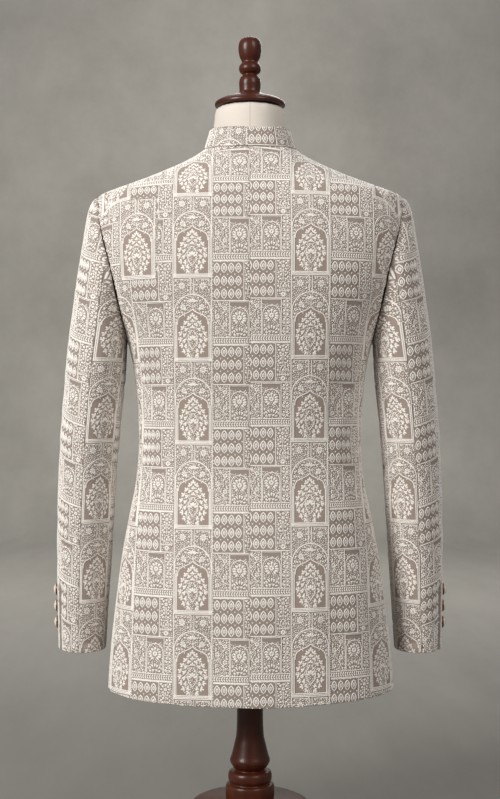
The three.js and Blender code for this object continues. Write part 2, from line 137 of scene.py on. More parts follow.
def top_edge(side, x):
    """The height of the neckline or the shoulder seam over x."""
    share = np.clip(np.abs(x) / NECK_X, 0, 1)
    if side < 0:
        neck = lerp(BACK_NECK_Z, NECK_Z, share**2)
    else:
        neck = lerp(FRONT_NECK_Z, NECK_Z, share**2.4)
    heights = np.linspace(NECK_Z, SHOULDER_Z, 600)
    ridge = np.interp(np.abs(x), along(BODY, 1, heights), heights)
    return np.where(np.abs(x) <= NECK_X, neck, ridge)


def armhole(side, angle):
    """A point of the armhole's edge, by the angle round it from the shoulder."""
    z = (SHOULDER_Z + ARMPIT_Z) / 2 + (SHOULDER_Z - ARMPIT_Z) / 2 * np.cos(angle)
    y = ARMHOLE_DEPTH * np.abs(np.sin(angle))
    return along(BODY, 1, z) * bulge(y / full_depth(side, z)), side * y, z


def path_length(points):
    """The lengths of lines whose points run along the second axis."""
    return np.sqrt((np.diff(points, axis=1) ** 2).sum(axis=0)).sum(axis=0)


def section_length(side, x, z):
    """The length of cloth from the centre to x, round the level section at z."""
    width, depth = along(BODY, 1, z), full_depth(side, z)
    turn = np.arcsin(np.clip(np.abs(x) / width, 0, 1) ** (FULLNESS / 2))
    steps = np.linspace(0, 1, 60)[:, None, None] * turn
    points = np.stack([width * np.sin(steps) ** (2 / FULLNESS), depth * np.cos(steps) ** (2 / FULLNESS)])
    return np.sign(x) * path_length(points)


def rise_length(side, x, z):
    """The length of cloth from the floor up to z, where the chest and shoulder lean in."""
    near = x * lerp(0.8, 1, smoothstep(z, 840, 930))
    steps = 1 - np.linspace(1, 0, 60)[:, None, None] ** 2.5
    levels = LEANS_FROM + steps * np.maximum(z - LEANS_FROM, 0)
    depths = body_depth(side, near, levels)
    climb = np.diff(levels, axis=0)
    return z + (np.hypot(climb, np.diff(depths, axis=0)) - climb).sum(axis=0)


def close_at_ends(length, step, first=(0, 0.7, 1.6, 3, 5, 8)):
    """Distances from 0 to length, in even steps that close up towards both ends."""
    first = np.array(first)
    inner = np.linspace(first[-1], length - first[-1], max(int((length - 2 * first[-1]) / step), 2))
    return np.concatenate([first[:-1], inner, length - first[:-1][::-1]])


def grid_normals(points):
    normals = np.cross(np.gradient(points, axis=1), np.gradient(points, axis=0))
    return normals / np.maximum(np.linalg.norm(normals, axis=2, keepdims=True), 1e-9)


def edge_distances(points):
    """How far each point of a grid is from its left, right, lower and upper edge."""
    across = np.linalg.norm(np.diff(points, axis=1), axis=2)
    across = np.pad(np.cumsum(across, axis=1), ((0, 0), (1, 0)))
    upward = np.linalg.norm(np.diff(points, axis=0), axis=2)
    upward = np.pad(np.cumsum(upward, axis=0), ((1, 0), (0, 0)))
    return across, across[:, -1:] - across, upward, upward[-1:] - upward


def soft_folds(u, v, folds, way):
    """Soft troughs in the cloth, or ridges where the depth is negative. Each has two ends, a
    half width and a depth, and runs out towards its ends. way is -1 to mirror them."""
    sunk = np.zeros_like(u)
    u = u * way
    for u0, v0, u1, v1, wide, deep in folds:
        length = math.hypot(u1 - u0, v1 - v0)
        t = ((u - u0) * (u1 - u0) + (v - v0) * (v1 - v0)) / length**2
        away = np.abs((u - u0) * (v1 - v0) - (v - v0) * (u1 - u0)) / length
        ends = smoothstep(t, -0.1, 0.35) * (1 - smoothstep(t, 0.65, 1.1))
        sunk += deep * ends * np.exp(-((away / wide) ** 2))
    return sunk


PATTERN_WIDTH = 117  # one repeat of the embroidery
PATTERN_HEIGHT = 112.5
SEAM_WIDTH = 2.0
SEAM_DIP = 0.6


def cloth_piece(name, points, u, v, sewn, folds, way, place, thickness=CLOTH):
    """A sheet through a grid of points that runs left to right and upwards, seen from outside.
    u and v are its places on the flat cloth. sewn tells which edges are seams. place moves the
    embroidery across and up, and tilts it."""
    edges = zip(edge_distances(points), sewn)
    dip = sum(np.exp(-((away / SEAM_WIDTH) ** 2)) for away, seam in edges if seam)
    sunk = SEAM_DIP * np.minimum(dip, 1) + soft_folds(u, v, folds, way)
    points = points - grid_normals(points) * sunk[..., None]
    across, upward, tilt = place
    u, v = u + across, v + upward - np.abs(u) * tilt
    rows, columns = u.shape
    bm = bmesh.new()
    bmesh.ops.create_grid(bm, x_segments=columns - 1, y_segments=rows - 1, size=1)
    bm.verts.index_update()
    flat = bm.loops.layers.uv.new("cloth")
    for face in bm.faces:
        for loop in face.loops:
            i, j = divmod(loop.vert.index, columns)
            loop[flat].uv = (u[i, j] * 0.001, v[i, j] * 0.001)
    for vert, point in zip(bm.verts, points.reshape(-1, 3)):
        vert.co = point * 0.001
    mesh = bpy.data.meshes.new(name)
    bm.to_mesh(mesh)
    bm.free()
    mesh.shade_smooth()
    mesh.materials.append(ground)
    piece = bpy.data.objects.new(name, mesh)
    scene.collection.objects.link(piece)
    wall = piece.modifiers.new("wall", "SOLIDIFY")
    wall.thickness = thickness * 0.001
    wall.offset = -1
    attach(piece, "root")
    shells[name] = {"object": piece, "points": points, "normals": grid_normals(points), "u": u, "v": v}
    return piece


def give(socket, value):
    """Sets a socket, or links it where the value is another socket."""
    if isinstance(value, bpy.types.NodeSocket):
        socket.id_data.links.new(value, socket)
    else:
        socket.default_value = value


def set_up(made, **values):
    """Sets a node's sockets and settings by name, with underscores for the spaces."""
    for key, value in values.items():
        socket = made.inputs.get(key.replace("_", " "))
        if socket is None:
            setattr(made, key, value)
        else:
            give(socket, value)
    return made


def new_material(name, **values):
    material = bpy.data.materials.new(name)
    material.use_nodes = True
    tree = material.node_tree
    return material, tree, set_up(tree.nodes["Principled BSDF"], **values)


def node(tree, kind, **values):
    return set_up(tree.nodes.new("ShaderNode" + kind), **values)


def maths(tree, operation, first, second):
    """A sum of two sockets or plain values."""
    made = node(tree, "Math", operation=operation)
    give(made.inputs[0], first)
    give(made.inputs[1], second)
    return made.outputs[0]


def mixed(tree, share, first, second):
    """A colour between two, by a share."""
    mix = node(tree, "Mix", data_type="RGBA")
    for i, value in ((0, share), (6, first), (7, second)):
        give(mix.inputs[i], value)
    return mix.outputs[2]


# The ground of the cloth is a plain weave in greyish taupe, a little pinker in the niches. The
# niche's middle, half width, slope, head and foot are measured on the flat cloth, in metres.
ground, tree, shader = new_material(
    "taupe_silk_ground", Roughness=0.78, Sheen_Weight=0.25, Sheen_Roughness=0.5,
)
place = node(tree, "UVMap", uv_map="cloth").outputs[0]
parts = node(tree, "SeparateXYZ", Vector=place)
across = maths(tree, "FLOORED_MODULO", parts.outputs[0], PATTERN_WIDTH * 0.001)
upward = maths(tree, "FLOORED_MODULO", parts.outputs[1], PATTERN_HEIGHT * 0.001)
from_middle = maths(tree, "ABSOLUTE", maths(tree, "SUBTRACT", across, 0.0275), 0)
inside = maths(tree, "LESS_THAN", from_middle, 0.0216)
lean = maths(tree, "MULTIPLY", from_middle, 0.45)
below = maths(tree, "LESS_THAN", maths(tree, "ADD", upward, lean), 0.0685)
above = maths(tree, "GREATER_THAN", upward, 0.0052)
niche = maths(tree, "MULTIPLY", maths(tree, "MULTIPLY", inside, below), above)
slub = node(tree, "TexNoise", Vector=place, Scale=90.0, Detail=4.0)
taupe = mixed(tree, slub.outputs[0], (0.250, 0.200, 0.168, 1), (0.315, 0.258, 0.220, 1))
warm = mixed(tree, maths(tree, "MULTIPLY", niche, 0.85), taupe, (0.315, 0.246, 0.205, 1))
warp = node(tree, "TexWave", Vector=place, Scale=420.0, Distortion=0.6, bands_direction="X")
weft = node(tree, "TexWave", Vector=place, Scale=380.0, Distortion=0.8, bands_direction="Y")
weave = maths(tree, "ADD", warp.outputs["Fac"], weft.outputs["Fac"])
bump = node(tree, "Bump", Height=weave, Strength=0.25, Distance=0.0003)
set_up(shader, Base_Color=warm, Normal=bump.outputs[0])

# Each fold has its ends on the flat cloth, measured out from the centre and up from the floor,
# then its half width and its depth.
BACK_FOLDS = [
    (150, 735, 118, 600, 14, 2.2), (172, 700, 150, 560, 11, 1.6), (186, 645, 160, 585, 8, 1.4),
    (92, 640, 84, 505, 17, 1.2), (60, 560, 66, 420, 20, 0.9), (205, 820, 165, 715, 13, 1.8),
    (130, 590, 196, 566, 9, 1.1), (110, 480, 132, 250, 24, 1.7), (52, 400, 58, 235, 22, 1.4),
    (176, 420, 190, 235, 18, 1.5), (150, 905, 95, 880, 16, 0.9), (70, 985, 120, 905, 14, 1.1),
    (132, 655, 128, 545, 9, -0.9), (84, 420, 92, 240, 18, -1.2),
]
FRONT_FOLDS = [
    (140, 745, 112, 610, 14, 2.0), (176, 690, 158, 575, 10, 1.5), (70, 640, 62, 520, 16, 1.3),
    (196, 815, 160, 725, 12, 1.7), (118, 470, 128, 250, 22, 1.6), (60, 390, 64, 240, 20, 1.2),
    (120, 900, 84, 840, 15, 1.1), (36, 900, 60, 800, 12, 0.8), (128, 600, 188, 572, 9, 1.0),
    (92, 440, 98, 245, 18, -1.1),
]
# solid, side, hand, where the pattern's repeat starts, the height of its lowest sill
PANELS = {
    "coat_back_left": ("back_left", -1, -1, 105.3, 241),
    "coat_back_right": ("back_right", -1, 1, -54.7, 244.5),
    "coat_front_right": ("front_right", 1, 1, 86, 243),
    "coat_front_left": ("front_left", 1, -1, 86, 243),
}

shells = {}
evenly = np.linspace(0, 1, 400)
chest = section_length(-1, evenly[None, :] * CHEST_HALF_WIDTH, np.full((1, 400), CHEST_Z))[0]
for name, (cad_node, side, hand, start, sill) in PANELS.items():
    shares = np.interp(close_at_ends(chest[-1], 4.6), chest, evenly)
    shares[-6:] = bulge(np.array([8, 5, 3, 1.6, 0.7, 0]) / 100)
    past = np.array([]) if side < 0 else np.array([-1, -0.96, -0.9, -0.82, -0.7, -0.5, -0.25]) * LAP
    skirt = HEM_Z + close_at_ends(ARMPIT_Z - HEM_Z, 7)[:-6]
    ridge = close_at_ends(ARMHOLE_RUN, 5.5)[::-1]
    up = np.concatenate([np.zeros(len(skirt)), 1 - (ridge / ARMHOLE_RUN) ** 1.2])[:, None]
    z = np.concatenate([skirt, np.full(len(ridge), float(ARMPIT_Z))])[:, None]
    edge = np.where(up > 0, armhole(side, np.pi * (1 - up))[0], along(BODY, 1, z))
    x = lerp(shares, along(COLUMN_SHARES, 1, shares), up**1.5) * edge
    if side < 0:
        x = np.maximum(x, SEAM_GAP / 2)
    x = np.concatenate([np.repeat(past[None, :], len(up), axis=0), x], axis=1)
    share = (1 - np.cos(np.pi * up)) / 2
    lift = top_edge(side, lerp(x, x / edge * SHOULDER_X, 1 - up)) - ARMPIT_Z
    drop = lerp(*HEM_DROP, (x / edge) ** 2)
    drop = drop * np.clip((HEM_FADES_OUT - z) / (HEM_FADES_OUT - HEM_Z), 0, 1)
    z = z + np.where(up > 0, lift * share, drop)
    y = side * np.maximum(body_depth(side, x, z), SEAM_GAP / 2)
    points = np.stack([x * hand, y, z], axis=2)
    u = section_length(side, x, np.minimum(z, 850)) * hand * -side
    v = rise_length(side, x, z) + 0.0102 * np.maximum(WAIST_Z - z, 0)
    if u[0, 0] > u[0, -1]:
        points, u, v = points[:, ::-1], u[:, ::-1], v[:, ::-1]
    outward = grid_normals(points)
    far = points[:, :, 0] * hand
    wave = np.cos(5 * np.arctan2(points[:, :, 1], points[:, :, 0]) + 0.9)
    swing = smoothstep(WAIST_Z - points[:, :, 2], 0, WAIST_Z - HEM_Z)
    if side > 0:
        swing = swing * smoothstep(np.abs(far), 25, 80)
    moved = HEM_WAVE * swing * wave
    if name == "coat_front_left":
        moved = moved + (CLOTH + LAP_GAP) * (1 - smoothstep(far, 25, 46))
    points = points + outward * moved[..., None]
    folds = BACK_FOLDS if side < 0 else FRONT_FOLDS
    seams = (hand * side > 0 or side < 0, hand * side < 0 or side < 0, False, True)
    piece = cloth_piece(name, points, u, v, seams, folds, hand * -side, (start, -sill, 0))
    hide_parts(cad_node)

# Sleeves
# Each is a tube of the same cloth in two halves, the top one and the one under the arm, sewn
# together behind and before the arm and set into the armhole. They hang with soft folds across
# the elbow and end in an open cuff.

JOIN_GAP = 0.45
# number, outer point, inner point, half the depth, how far it hangs forward
SLEEVE = np.array([
    (0, 212, 926, 173, 725, 61, 0), (1, 219, 923.5, 174.4, 720, 62, 0),
    (2, 225, 915.5, 175.6, 711, 63.5, 0), (3, 229.5, 900.5, 176.2, 700, 65, 0),
    (4, 233.5, 878, 176.8, 686, 66, 0), (5, 239, 847, 178, 668, 66, 0),
    (6, 246.5, 802, 180.5, 643, 65.5, 1), (7, 254.5, 742, 184, 612, 64, 2),
    (8, 261.5, 675, 187, 578, 62, 3), (9, 267, 610, 190, 540, 60, 5),
    (10, 271, 545, 193, 497, 58, 8), (11, 273.5, 480, 196, 450, 56, 11),
    (12, 274.5, 415, 199.5, 400, 54, 14), (13, 274, 352, 203.5, 346, 52, 17),
    (14, 273, 286.5, 207.5, 284.5, 50, 20),
])
HINDARM = 90  # degrees from the outer edge to the seam behind the arm
FOREARM = 120  # and to the seam in front


def sleeve_points(hand, level, angle):
    """Points of a sleeve by level, from 0 at the armhole to 14 at the cuff, and by the angle
    from the outer edge, positive to the back."""
    low = np.maximum(level, 1)
    outer_x, outer_z, inner_x, inner_z, depth, forward = (along(SLEEVE, i, low) for i in range(1, 7))
    lean = np.cos(angle) / 2
    x = (outer_x + inner_x) / 2 + (outer_x - inner_x) * lean
    z = (outer_z + inner_z) / 2 + (outer_z - inner_z) * lean
    ring = np.stack([x, forward - depth * np.sin(angle), z], axis=2)
    turn = np.arccos(np.cos(angle))
    behind, before = armhole(-1, turn), armhole(1, turn)
    hole = np.stack([np.where(np.sin(angle) > 0, a, b) for a, b in zip(behind, before)], axis=2)
    hole = hole + np.array([0.983, 0, -0.185]) * JOIN_GAP
    t = np.clip(level, 0, 1)[..., None]
    return (hole * (1 - t) + ring * t) * np.array([hand, 1, 1])


def sleeve_girth(level, angle):
    """The length of cloth round the sleeve from the seam behind the arm."""
    low = np.maximum(level, 1)
    wide = (along(SLEEVE, 1, low) - along(SLEEVE, 3, low)) / 2
    deep = along(SLEEVE, 5, low)
    start = math.radians(HINDARM)
    steps = start + np.linspace(0, 1, 50)[:, None, None] * (angle - start)
    points = np.stack([wide * np.cos(steps), deep * np.sin(steps)])
    return path_length(points)


VENT_ANGLE = 33  # degrees from the outer edge to the slit beside the cuff's buttons
VENT_TOP = 382
VENT_LAP = 2.2
SLEEVE_STARTS = {"top": {-1: 115, 1: 57}, "under": {-1: 1.5, 1: 53.5}}  # of the pattern, by hand
SLEEVE_SILL = 355
SLEEVE_RADIUS = 60
SEAM_ANGLE = 0.0025

# Each fold has its ends as the length round from the hindarm seam and the height.
TOP_FOLDS = [
    (8, 596, 68, 618, 11, 1.6), (5, 560, 74, 572, 10, 1.4), (14, 528, 64, 522, 9, 1.2),
    (26, 642, 84, 662, 12, 1.0), (104, 566, 160, 590, 10, 1.2), (20, 480, 76, 464, 10, 0.8),
    (120, 600, 190, 640, 10, 1.8),
    (130, 560, 205, 585, 9, 2.1), (140, 522, 200, 530, 8, 1.6), (22, 860, 60, 740, 16, 1.6),
    (70, 880, 84, 730, 18, 0.8), (150, 850, 175, 730, 15, 1.4), (34, 420, 82, 407, 10, 0.7),
    (16, 578, 74, 594, 7, -0.8), (128, 541, 196, 556, 7, -1.0),
]
UNDER_FOLDS = [
    (4, 600, 70, 560, 9, 2.0), (6, 566, 84, 534, 8, 1.8), (10, 530, 72, 508, 8, 1.5),
    (3, 640, 60, 610, 10, 1.3), (20, 470, 90, 452, 9, 1.0), (14, 690, 52, 640, 9, 1.3),
]

levels = np.concatenate([
    [0, 0.03, 0.08, 0.16, 0.3, 0.5, 0.75], np.arange(1, 5, 0.2), np.arange(5, 13.9, 0.125),
    14 - np.array([0.125, 0.082, 0.05, 0.027, 0.012, 0]),
])[::-1, None]
for label, hand in (("left", -1), ("right", 1)):
    for half, sign, reach, folds in (
        ("top", -1, HINDARM + FOREARM, TOP_FOLDS), ("under", 1, 270 - FOREARM, UNDER_FOLDS),
    ):
        girth = math.radians(reach) * SLEEVE_RADIUS
        shares = close_at_ends(girth, 5)[None, :] / girth
        spread = shares * (math.radians(reach) - 2 * SEAM_ANGLE) + SEAM_ANGLE
        if half == "top":
            vent = math.radians(HINDARM - VENT_ANGLE)
            beside = vent + np.array([-0.03, -0.012, -0.004, 0.004, 0.012])
            spread = np.sort(np.append(spread, beside))[None, :]
        angle = math.radians(HINDARM) + sign * spread
        level, angle = np.broadcast_arrays(levels, angle)
        points = sleeve_points(hand, level, angle)
        if half == "top":
            lap = smoothstep(spread, vent - 0.5, vent - 0.01) * (spread < vent)
            lap = lap * (1 - smoothstep(points[:, :, 2], VENT_TOP - 5, VENT_TOP))
            points = points - grid_normals(points) * (hand * VENT_LAP * lap)[..., None]
            slit = (np.abs(spread - vent) < 0.02) & (points[:, :, 2] < VENT_TOP)
        way = hand * -sign
        u = sleeve_girth(level, angle) * way
        v = points[:, :, 2]
        if way < 0:
            points, u, v = points[:, ::-1], u[:, ::-1], v[:, ::-1]
        name = f"coat_sleeve_{label}_{half}"
        place = (SLEEVE_STARTS[half][hand], -SLEEVE_SILL, 0.3 if half == "top" else 0)
        piece = cloth_piece(name, points, u, v, (True, True, False, True), folds, way, place)
        if half == "top":
            shells[name]["slit"] = slit if way > 0 else slit[:, ::-1]
        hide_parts(f"sleeve_{label}_{half}")

# Collar
# A stiffened band of the same cloth stands round the neck, with rounded ends that meet in front.

COLLAR_HEIGHT = 28
COLLAR_ENDS = 4
COLLAR_CORNER = 12
COLLAR_CLOTH = 2.2

turn = np.linspace(0, np.pi / 2, 500)
x = NECK_X * np.sin(turn) ** (2 / FULLNESS)
front_x = x[x >= COLLAR_ENDS]
line = []
for side, xs in ((-1, x), (1, front_x[::-1])):
    z = top_edge(side, xs)
    line.append(np.stack([xs, side * body_depth(side, xs, z), z, np.full(len(xs), side)], axis=1))
line = np.concatenate(line)
run = np.concatenate([[0], np.cumsum(np.linalg.norm(np.diff(line[:, :3], axis=0), axis=1))])
near_end = COLLAR_CORNER * np.linspace(1, 0, 14) ** 1.4
at = np.concatenate([np.linspace(0, run[-1] - COLLAR_CORNER, 40)[:-1], run[-1] - near_end])
base = np.stack([np.interp(at, run, line[:, i]) for i in range(4)], axis=1)
side = np.sign(base[:, 3])
away = base[:, 0] / NECK_X
lean = np.where(side < 0, 0.2, 0.05) * (1 - away**2)
rise = np.stack([-0.3 * away**1.5, lean, np.ones(len(at))], axis=1)
rise /= np.linalg.norm(rise, axis=1, keepdims=True)
short = np.where(side > 0, np.maximum(1 - (base[:, 0] - COLLAR_ENDS) / COLLAR_CORNER, 0), 0)
height = COLLAR_HEIGHT * np.maximum(np.sqrt(1 - short**2), 0.45)
mirror = np.array([-1, 1, 1])
foot = np.concatenate([base[:0:-1, :3] * mirror, base[:, :3]])
rise = np.concatenate([rise[:0:-1] * mirror, rise])
height = np.concatenate([height[:0:-1], height])
run = np.concatenate([-at[:0:-1], at])
steps = close_at_ends(COLLAR_HEIGHT, 2.6, (0, 0.5, 1.1, 2, 3.2)) / COLLAR_HEIGHT
points = foot + rise * (0.7 + height * steps[:, None])[..., None]
u, v = np.broadcast_arrays(run[None, :], steps[:, None] * COLLAR_HEIGHT)
collar = cloth_piece("coat_collar", points, u, v, (False,) * 4, [], 1, (58.5, 80.5, 0), COLLAR_CLOTH)
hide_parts("collar")

# Embroidery
# Cream silk is worked over the whole cloth in satin-stitched petals and couched lines that stand
# up from it. One repeat has a column of niches with a flowering plant in each, under an arch,
# and beside it a column of small panels of ovals, vines, vases and medallions.

petals = []  # middle, length, width and turn of each petal in the repeat
cords = []  # the path, width and whether it closes, of each couched line
plain = []  # boxes that stay without any filling

PETAL_HEIGHT = 1.1
CORD_HEIGHT = 0.85
SUNK = -0.22  # where the edges of the stitches go into the cloth
MIDDLE = 27.5


def petal(u, v, long, wide, turn):
    petals.append((u, v, long, wide, turn))


def fan(u, v, across, upward, long, wide, turns):
    """Petals that point away from a middle."""
    for turn in turns:
        spin = math.radians(turn)
        petal(u + across * math.cos(spin), v + upward * math.sin(spin), long, wide, turn)


def flower(u, v, count, inner, long, wide, turn=90.0):
    """Petals set evenly round a middle."""
    reach = inner + long / 2
    fan(u, v, reach, reach, long, wide, [turn + 360 * k / count for k in range(count)])


def cord(path, wide=1.2, closed=False):
    cords.append((path, wide, closed))


def ring(u, v, across, upward, wide=1.0, count=12, turn=0.0):
    angles = [math.radians(turn + 360 * k / count) for k in range(count)]
    cord([(u + across * math.cos(a), v + upward * math.sin(a)) for a in angles], wide, True)


def arc(u, v, reach, count):
    """A half round from left to right."""
    angles = [math.pi * k / count for k in range(count + 1)]
    return [(u - reach * math.cos(a), v + reach * math.sin(a)) for a in angles]


def straight(u0, v0, u1, v1, wide=1.2, step=4.5):
    count = max(round(math.hypot(u1 - u0, v1 - v0) / step), 1)
    cord([(lerp(u0, u1, k / count), lerp(v0, v1, k / count)) for k in range(count + 1)], wide)


# Frame of the niche: its jambs and sill of close lines, the pointed head and the round arch
for across in (1.0, 54.0):
    straight(across, 0.6, across, PATTERN_HEIGHT + 0.6, 1.3)
for across in (2.95, 4.9, 50.1, 52.05):
    straight(across, 0.6, across, 54, 1.4)
for up in (0.8, 2.75, 4.7):
    straight(1.0, up, 54.0, up, 1.4)
head = [(6.2, 50), (6.4, 55), (8.6, 59.6), (13.6, 62.8), (19.6, 65.2), (24.4, 67.6), (MIDDLE, 70.2)]
cord(head + [(2 * MIDDLE - a, b) for a, b in head[-2::-1]], 1.4)
cord([(2.0, 53.5)] + arc(MIDDLE, 64.5, 25.6, 16) + [(53.0, 53.5)], 1.5)
plain += [(5.6, 5.6, 49.4, 61.5), (17, 61, 38, 68)]

# Plant in the niche: two rings of leaves, drooping at the foot and closing over the top, round
# a lotus between two bowed stems


def sprig(u, v, turn, long=5.0, wide=2.15):
    """Leaves fanned from one point."""
    for bend, share in ((-48, 0.86), (0, 1.1), (48, 0.86)):
        reach = long * share * 0.6
        fan(u, v, reach, reach, long * share, wide, [turn + bend])


for u, v, turn in (
    (3.6, 56.4, 62), (8.2, 50.6, 50), (12.2, 44.0, 40), (14.9, 36.8, 30), (15.2, 29.4, 14),
    (13.2, 22.0, -2), (10.2, 14.8, -16), (4.4, 10.4, -44),
):
    sprig(MIDDLE + u, v, turn)
    sprig(MIDDLE - u, v, 180 - turn)
for u, v, turn in (
    (3.8, 48.2, 60), (7.6, 41.8, 46), (9.6, 34.8, 34), (9.6, 27.6, 16), (7.6, 20.8, -4), (4.2, 15.4, -22),
):
    sprig(MIDDLE + u, v, turn, 4.2, 2.2)
    sprig(MIDDLE - u, v, 180 - turn, 4.2, 2.2)
for v in (44.6, 52.6):
    sprig(MIDDLE, v, 90, 4.2, 2.0)
fan(MIDDLE, 27.6, 4.4, 5.6, 6.2, 2.6, (90, 58, 122, 24, 156))
sprig(MIDDLE, 60, 90)
stem = ((0.2, 16.4), (4.2, 21.6), (6.8, 28.6), (5.4, 35.6), (0.4, 42.6))
for sign in (1, -1):
    cord([(MIDDLE + sign * a, b) for a, b in stem], 1.25)
# height and half width of the plant
PLANT = np.array([
    (5, 0), (6, 6), (9, 11), (12, 12.5), (15, 14.5), (21, 18), (28, 19.8), (34, 20), (40, 18),
    (46, 14.6), (52, 10.6), (58, 6), (64, 2.4), (67, 0),
])

# Between the pointed head and the arch: a palm in the middle and a flower to each side
fan(MIDDLE, 78.2, 4.3, 4.6, 5.8, 2.0, (90, 62, 118, 36, 144))
straight(MIDDLE, 71.5, MIDDLE, 77.4, 1.0, 3)
for sign in (1, -1):
    cord([(MIDDLE + sign * a, b) for a, b in ((0.6, 73), (4.4, 75.4), (8.2, 76.2))], 0.9)
    flower(MIDDLE + sign * 13, 73.2, 7, 1.1, 3.3, 2.0, 90)
    ring(MIDDLE + sign * 13, 73.2, 0.8, 0.8, 0.8, 6)
    for u, v, turn in (
        (7.6, 85.4, 20), (6.4, 81.4, 150), (10.6, 81.6, 60), (18.4, 79.2, 40), (20.6, 72.6, 70),
        (21.8, 66.8, 90), (18.2, 66.2, 30), (14.6, 66.6, 10), (21.6, 60.6, 95), (23.0, 56.4, 90),
        (9.6, 70.6, 20),
    ):
        petal(MIDDLE + sign * u, v, 3.7, 1.9, turn if sign > 0 else 180 - turn)

# Two square cells over the arch, each with a rosette, and a pair of pillars between them
for u in (25.5, 29.5):
    straight(u, 90.6, u, 111.8, 1.15)
for middle, turn in ((13.2, 20), (41.8, 70)):
    flower(middle, 101.6, 8, 1.2, 3.9, 2.0, turn)
    ring(middle, 101.6, 0.9, 0.9, 0.8, 6)
    for du, dv, turn in (
        (-8, 7, 130), (8, 7, 50), (-8.4, -5, 230), (8.2, -5.6, -40), (0, 8.4, 0), (-8.8, 1.2, 90),
        (8.8, 1, 90),
    ):
        petal(middle + du, 101.6 + dv, 3.6, 1.8, turn)
straight(3.4, 110.6, 23.6, 110.6, 0.9)
straight(31.4, 110.6, 51.6, 110.6, 0.9)


def oval(u, v, across, upward, wide):
    """A ring with a pointed head and foot."""
    corners = ((0, 1), (0.64, 0.6), (1, 0), (0.64, -0.6), (0, -1), (-0.64, -0.6), (-1, 0), (-0.64, 0.6))
    cord([(u + a * across, v + b * upward) for a, b in corners], wide, True)


# Panel of ovals in four columns and three rows, running over the end of the repeat
plain += [(56.2, 82.2, 96.6, PATTERN_HEIGHT), (56.2, 0, 96.6, 21.8)]
for up in (81.4, 134.4):
    straight(55.6, up, 116.6, up, 1.3)
straight(97.2, 81.4, 97.2, 134.4, 1.1)
for i in range(4):
    for j in range(3):
        middle = (60.9 + 9.7 * i, 90.6 + 17.3 * j)
        oval(*middle, 3.75, 6.5, 1.55)
        oval(*middle, 1.2, 2.7, 1.35)
        petal(middle[0] + 4.85, middle[1] + 8.6, 2.6, 1.5, 90)

# Tall cell with a vase and its flower, over a small square flower
flower(107, 86.6, 8, 0.7, 3.2, 1.7, 22.5)
straight(98.4, 91.4, 115.8, 91.4, 1.0)
fan(107, 124.6, 5.4, 5.4, 4.2, 2.1, range(0, 360, 45))
flower(107, 124.6, 6, 0.4, 2.4, 1.5, 30)
straight(107, 104.5, 107, 118, 1.0, 4)
vase = [
    (104, 94.4), (102.6, 97.4), (104.4, 100.6), (105.6, 103.4),
    (108.4, 103.4), (109.6, 100.6), (111.4, 97.4), (110, 94.4),
]
cord(vase, 1.0, True)
for u, v, turn in (
    (3.4, 107.4, 40), (6.2, 109.8, 80), (3.2, 112.6, 48), (6.0, 115.6, 86), (6.6, 103.6, 60),
    (2.8, 117.0, 40), (7.0, 97.6, 90), (6.8, 131.2, 30),
):
    petal(107 + u, v, 4.0, 1.9, turn)
    petal(107 - u, v, 4.0, 1.9, 180 - turn)
petal(107, 97.6, 4.6, 2.2, 90)

# Cell with a climbing vine
straight(78.0, 32.6, 78.0, 81.2, 1.2)
cord([(66.5 + 4.6 * math.sin(k * 0.62), 35 + 2.6 * k) for k in range(18)], 1.0)
for k in range(4):
    sign = 1 if k % 2 else -1
    v = 39.4 + 10.6 * k
    flower(66.5 + sign * 5.2, v, 6, 0.7, 2.9, 1.8, 90)
    for du, dv, turn in ((-6.6, 2.0, 120), (-7.0, -3.4, 60), (-2.6, 4.6, 100), (7.4, 4.6, 80)):
        petal(66.5 + sign * du, v + dv, 3.7, 1.8, turn)

# Cell with a round flower medallion in an arch, over a cup of leaves
straight(104.6, 32.6, 104.6, 81.2, 1.1)
straight(79.2, 79.6, 103.6, 79.6, 0.8)
cord([(79.6, 33.6), (79.6, 58)] + arc(91.3, 60.4, 11.7, 12) + [(103, 58), (103, 33.6)], 1.15)
plain += [(79.4, 73.4, 103.2, 80.6)]
for turn in (90, 58, 122, 30, 150, 4, 176, -22, 202, -50, 230):
    reach = 6.9 + 0.9 * math.sin(math.radians(turn))
    fan(91.3, 57.2, reach, reach, 5.6, 2.4, [turn])
flower(91.3, 58.6, 7, 0.7, 3.1, 2.0, 90)
for u, v, long, turn in (
    (0, 43.4, 5.4, 90), (3.4, 42.2, 5.2, 62), (6.6, 40.4, 5.2, 44), (2.6, 36.6, 4.2, 40),
    (6.4, 35.6, 4.4, 14), (9.2, 44.8, 4.2, 80), (9.4, 39.2, 3.6, 84),
):
    petal(91.3 + u, v, long, 2.0, turn)
    if u:
        petal(91.3 - u, v, long, 2.0, 180 - turn)

# Column of crossed flowers beside it
for k in range(4):
    v = 38.7 + 12.1 * k
    flower(110.7, v, 4, 0.8, 4.4, 2.2, 45)
    flower(110.7, v, 4, 2.6, 2.4, 1.5, 0)
    straight(105.6, v + 6.05, 115.8, v + 6.05, 0.9)

# Band of a leaf rope between two lines
straight(55.6, 23.2, 116.6, 23.2, 1.2)
straight(55.6, 31.9, 116.6, 31.9, 1.2)
for k in range(18):
    petal(57.4 + 3.4 * k, 29.0, 4.0, 1.7, 55)
    petal(57.4 + 3.4 * k, 26.1, 4.0, 1.7, -55)

